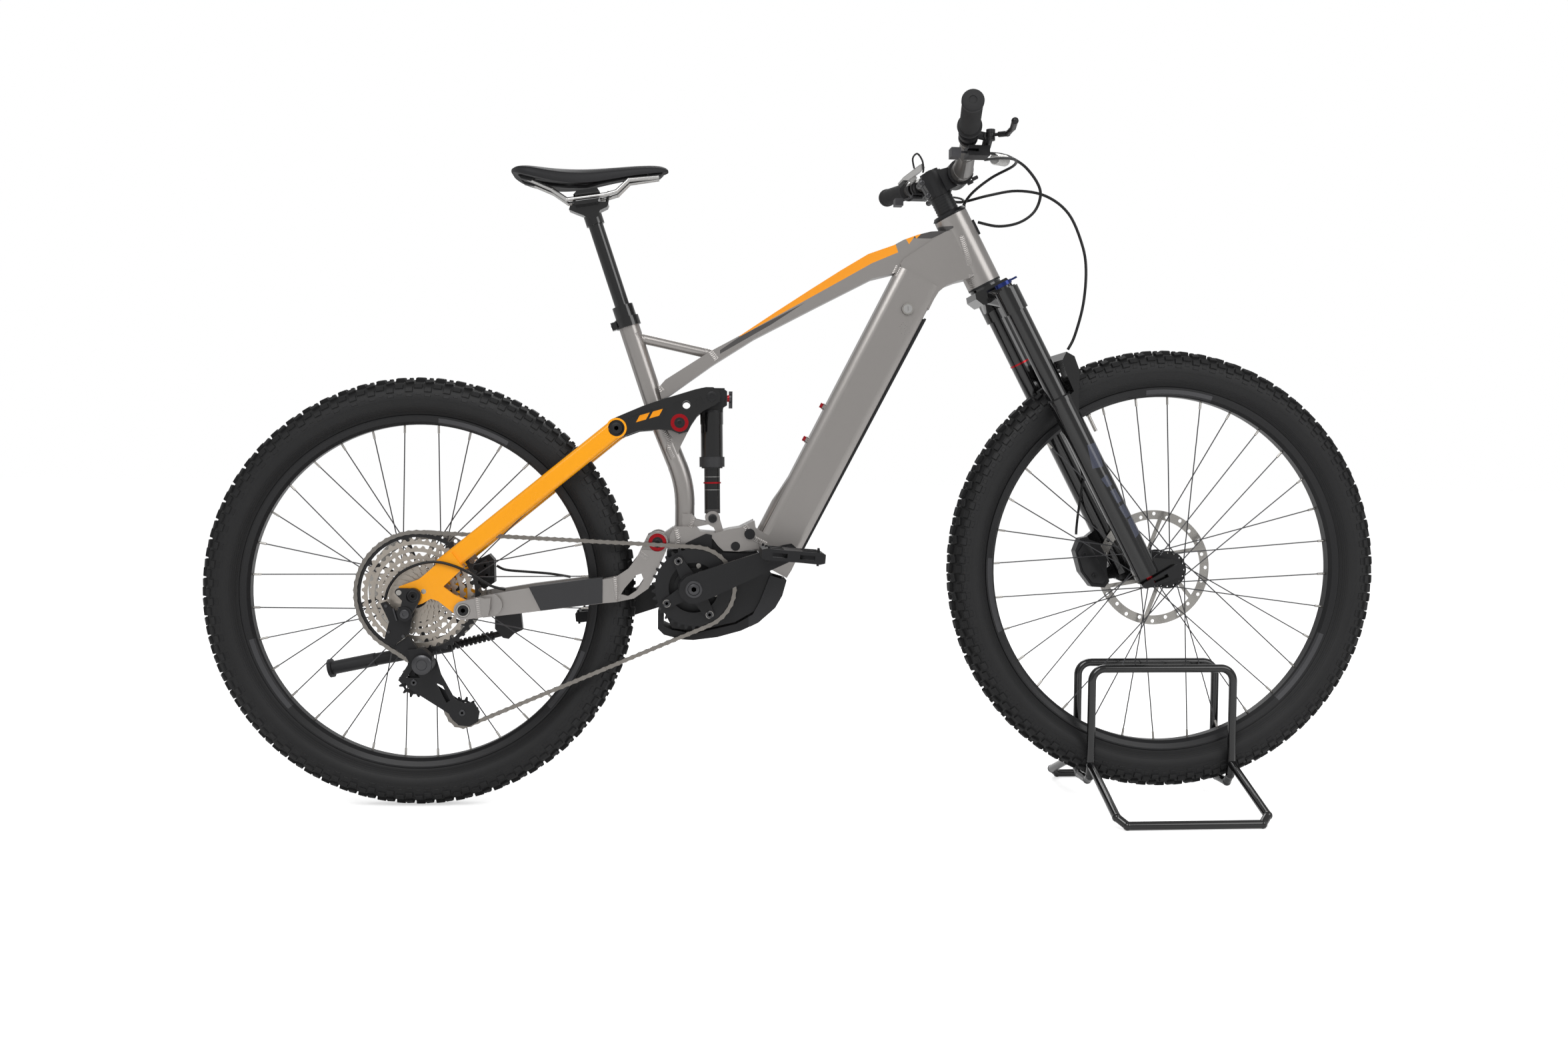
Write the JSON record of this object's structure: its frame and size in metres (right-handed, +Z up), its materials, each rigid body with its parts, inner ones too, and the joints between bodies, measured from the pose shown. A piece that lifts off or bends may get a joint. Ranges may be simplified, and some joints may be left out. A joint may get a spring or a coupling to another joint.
{
  "type": "electric mountain bicycle on a wheel stand",
  "caption": "Full-suspension electric mountain bicycle held upright by a bent-tube stand under its front wheel.",
  "frame": {"origin": "on the floor, below the middle of the bounding box", "axes": "+X forward, +Y to the rider's left, +Z up; the drive side faces -Y"},
  "size_m": [2.0197, 0.7907, 1.1532],
  "materials": {
    "frame_silver": "satin metallic",
    "orange_paint": "gloss",
    "black_metal": "satin black anodised",
    "black_gloss": "gloss",
    "black_plastic": "matte",
    "grey_plastic": "satin",
    "raw_alloy": "satin",
    "steel": "satin",
    "dark_steel": "black",
    "red_anodised": "anodised",
    "blue_anodised": "anodised",
    "tyre_rubber": "matte",
    "grip_rubber": "matte",
    "hose_rubber": "satin",
    "saddle_cover": "matte"
  },
  "bodies": {
    "frame": {"frame_main": "frame_silver", "headset_cups": "black_metal", "motor_unit": "black_metal", "motor_cover": "grey_plastic", "seat_clamp": "black_metal", "frame_hardware": "black_metal", "seatpost_outer": "black_metal", "chain": "steel", "hoses": "hose_rubber"},
    "battery": {"battery": "black_plastic"},
    "battery_lock": {"battery_lock": "raw_alloy"},
    "charge_plug": {"charge_flap": "black_plastic"},
    "swingarm": {"chainstays": "frame_silver", "chainstay_fittings": "black_plastic"},
    "kickstand": {"kickstand_leg": "black_metal"},
    "seatstay": {"seatstays": "orange_paint", "dropout_hardware": "black_metal", "rear_caliper": "black_metal"},
    "rocker": {"rocker_link": "black_gloss", "rocker_bolts": "black_metal"},
    "shock_lower": {"shock_shaft": "black_metal"},
    "shock_upper": {"shock_body": "black_gloss"},
    "shock_lever": {"shock_lever": "black_metal"},
    "crank": {"crank_arms": "black_metal", "chainring": "black_metal"},
    "pedal_right": {"pedal_right": "black_plastic"},
    "pedal_left": {"pedal_left": "black_plastic"},
    "rear_wheel": {"rear_tyre": "tyre_rubber", "rear_rim": "black_metal", "rear_hub": "black_metal", "rear_spokes": "dark_steel", "rear_rotor": "steel"},
    "cassette": {"cassette": "steel"},
    "derailleur": {"derailleur_body": "black_metal"},
    "derailleur_cage": {"derailleur_cage": "black_metal"},
    "guide_pulley": {"guide_pulley": "black_plastic"},
    "tension_pulley": {"tension_pulley": "black_plastic"},
    "steering": {"fork_uppers": "black_gloss", "stem": "black_metal", "handlebar": "raw_alloy", "grips": "grip_rubber", "control_bodies": "black_metal"},
    "compression_knob": {"compression_knob": "blue_anodised"},
    "brake_lever_right": {"brake_lever_right": "black_metal"},
    "brake_lever_left": {"brake_lever_left": "black_metal"},
    "shift_lever": {"shift_lever": "grey_plastic"},
    "dropper_lever": {"dropper_lever": "grey_plastic"},
    "fork_lower": {"fork_lowers": "black_gloss", "front_caliper": "black_metal"},
    "rebound_knob": {"rebound_knob": "red_anodised"},
    "front_axle": {"front_axle": "black_metal"},
    "front_wheel": {"front_tyre": "tyre_rubber", "front_rim": "black_metal", "front_hub": "black_metal", "front_spokes": "dark_steel", "front_rotor": "steel"},
    "seat": {"seatpost_inner": "black_metal", "saddle_rails": "raw_alloy", "saddle": "saddle_cover"},
    "wheel_stand": {"wheel_stand": "black_gloss"}
  },
  "joints": [
    {"name": "swingarm_pivot", "type": "hinge", "parent": "frame", "child": "swingarm", "pos_m": [-0.248, 0, 0.4514], "axis": [0, 1, 0], "range_deg": [0, 22], "stiffness_Nm_per_rad": 180, "springref_deg": -28.65},
    {"name": "rocker_pivot", "type": "hinge", "parent": "frame", "child": "rocker", "pos_m": [-0.2122, 0, 0.6526], "axis": [0, 1, 0], "range_deg": [0, 48.6]},
    {"name": "horst_pivot", "type": "hinge", "parent": "swingarm", "child": "seatstay", "pos_m": [-0.5654, 0, 0.3393], "axis": [0, 1, 0], "range_deg": [-13.1, 0]},
    {"name": "shock_lower_eye", "type": "hinge", "parent": "frame", "child": "shock_lower", "pos_m": [-0.1552, 0, 0.4914], "axis": [0, 1, 0], "range_deg": [0, 6.7]},
    {"name": "shock_travel", "type": "slide", "parent": "shock_lower", "child": "shock_upper", "axis": [0.0155, 0, -0.9999], "range_m": [0, 0.0552]},
    {"name": "shock_lever_turn", "type": "hinge", "parent": "shock_upper", "child": "shock_lever", "pos_m": [-0.1289, 0, 0.696], "axis": [1, 0, 0], "range_deg": [0, 90]},
    {"name": "crank_spin", "type": "hinge", "parent": "frame", "child": "crank", "pos_m": [-0.1865, 0, 0.376], "axis": [0, 1, 0], "continuous": true, "deforming": ["chain"]},
    {"name": "pedal_right_spin", "type": "hinge", "parent": "crank", "child": "pedal_right", "pos_m": [-0.02844, -0.15, 0.43858], "axis": [0, 1, 0], "continuous": true},
    {"name": "pedal_left_spin", "type": "hinge", "parent": "crank", "child": "pedal_left", "pos_m": [-0.34456, 0.15, 0.31342], "axis": [0, 1, 0], "continuous": true},
    {"name": "rear_wheel_spin", "type": "hinge", "parent": "seatstay", "child": "rear_wheel", "pos_m": [-0.6471, 0, 0.3627], "axis": [0, 1, 0], "continuous": true},
    {"name": "cassette_spin", "type": "hinge", "parent": "seatstay", "child": "cassette", "pos_m": [-0.6471, -0.053, 0.3627], "axis": [0, 1, 0], "continuous": true},
    {"name": "derailleur_swing", "type": "hinge", "parent": "seatstay", "child": "derailleur", "pos_m": [-0.6585, -0.085, 0.334], "axis": [0, -1, 0], "range_deg": [0, 10], "stiffness_Nm_per_rad": 8, "springref_deg": -28.65},
    {"name": "cage_swing", "type": "hinge", "parent": "derailleur", "child": "derailleur_cage", "pos_m": [-0.6321, -0.055, 0.2495], "axis": [0, -1, 0], "range_deg": [0, 30], "stiffness_Nm_per_rad": 3, "springref_deg": -28.65},
    {"name": "guide_pulley_spin", "type": "hinge", "parent": "derailleur_cage", "child": "guide_pulley", "pos_m": [-0.6525, -0.038, 0.214], "axis": [0, 1, 0], "continuous": true},
    {"name": "tension_pulley_spin", "type": "hinge", "parent": "derailleur_cage", "child": "tension_pulley", "pos_m": [-0.5725, -0.039, 0.163], "axis": [0, 1, 0], "continuous": true},
    {"name": "kickstand_fold", "type": "hinge", "parent": "swingarm", "child": "kickstand", "pos_m": [-0.5085, 0.088, 0.285], "axis": [0, -1, 0], "range_deg": [0, 45]},
    {"name": "battery_tilt", "type": "hinge", "parent": "frame", "child": "battery", "pos_m": [-0.0106, 0, 0.4326], "axis": [0, 1, 0], "range_deg": [0, 6]},
    {"name": "battery_lock_turn", "type": "hinge", "parent": "frame", "child": "battery_lock", "pos_m": [0.1727, -0.029, 0.8503], "axis": [0, 1, 0], "range_deg": [0, 90]},
    {"name": "charge_plug_pull", "type": "slide", "parent": "frame", "child": "charge_plug", "axis": [0, -1, 0], "range_m": [0, 0.012]},
    {"name": "steering", "type": "hinge", "parent": "frame", "child": "steering", "pos_m": [0.2796, 0, 0.9531], "axis": [-0.4641, 0, 0.8858], "range_deg": [-18, 15], "deforming": ["hoses"]},
    {"name": "fork_travel", "type": "slide", "parent": "steering", "child": "fork_lower", "axis": [-0.4641, 0, 0.8858], "range_m": [0, 0.16], "stiffness_N_per_m": 6000, "springref_m": -0.06},
    {"name": "front_wheel_spin", "type": "hinge", "parent": "fork_lower", "child": "front_wheel", "pos_m": [0.62926, 0.00223, 0.40828], "axis": [-0.0346, 0.9992, -0.0181], "continuous": true},
    {"name": "stand_lift", "type": "slide", "parent": "fork_lower", "child": "wheel_stand", "axis": [0, 0, -1], "range_m": [0, 0.3]},
    {"name": "rebound_turn", "type": "hinge", "parent": "fork_lower", "child": "rebound_knob", "pos_m": [0.58855, -0.06448, 0.3947], "axis": [-0.4641, 0, 0.8858], "range_deg": [0, 330]},
    {"name": "axle_lever_turn", "type": "hinge", "parent": "fork_lower", "child": "front_axle", "pos_m": [0.63169, -0.06772, 0.40955], "axis": [0.0346, -0.9992, 0.0181], "range_deg": [0, 120]},
    {"name": "compression_turn", "type": "hinge", "parent": "steering", "child": "compression_knob", "pos_m": [0.32867, -0.06448, 0.89075], "axis": [-0.4641, 0, 0.8858], "range_deg": [0, 90]},
    {"name": "brake_pull_right", "type": "hinge", "parent": "steering", "child": "brake_lever_right", "pos_m": [0.27067, -0.23478, 1.10228], "axis": [0.0003, -0.0181, -0.9998], "range_deg": [0, 12], "stiffness_Nm_per_rad": 6, "springref_deg": -8.59},
    {"name": "brake_pull_left", "type": "hinge", "parent": "steering", "child": "brake_lever_left", "pos_m": [0.25426, 0.23886, 1.09368], "axis": [-0.0003, 0.0181, 0.9998], "range_deg": [0, 12], "stiffness_Nm_per_rad": 6, "springref_deg": -8.59},
    {"name": "shift_push", "type": "hinge", "parent": "steering", "child": "shift_lever", "pos_m": [0.24551, -0.202, 1.08167], "axis": [-0.0003, 0.0181, 0.9998], "range_deg": [0, 14], "stiffness_Nm_per_rad": 0.5, "springref_deg": -11.46},
    {"name": "dropper_push", "type": "hinge", "parent": "steering", "child": "dropper_lever", "pos_m": [0.21657, 0.20022, 1.07737], "axis": [0.0003, -0.0181, -0.9998], "range_deg": [0, 14], "stiffness_Nm_per_rad": 0.5, "springref_deg": -11.46},
    {"name": "seatpost_drop", "type": "slide", "parent": "frame", "child": "seat", "axis": [0.3181, 0, -0.948], "range_m": [0, 0.125]}
  ],
  "couplings": [
    {"joint": "rocker_pivot", "follows": "swingarm_pivot", "ratio": 2.203},
    {"joint": "horst_pivot", "follows": "swingarm_pivot", "ratio": -0.59},
    {"joint": "shock_lower_eye", "follows": "swingarm_pivot", "ratio": 0.3},
    {"joint": "shock_travel", "follows": "swingarm_pivot", "m_per_rad": 0.1432},
    {"joint": "cassette_spin", "follows": "crank_spin", "ratio": 0.66667},
    {"joint": "guide_pulley_spin", "follows": "crank_spin", "ratio": -2.8333},
    {"joint": "tension_pulley_spin", "follows": "crank_spin", "ratio": 2.8333}
  ]
}
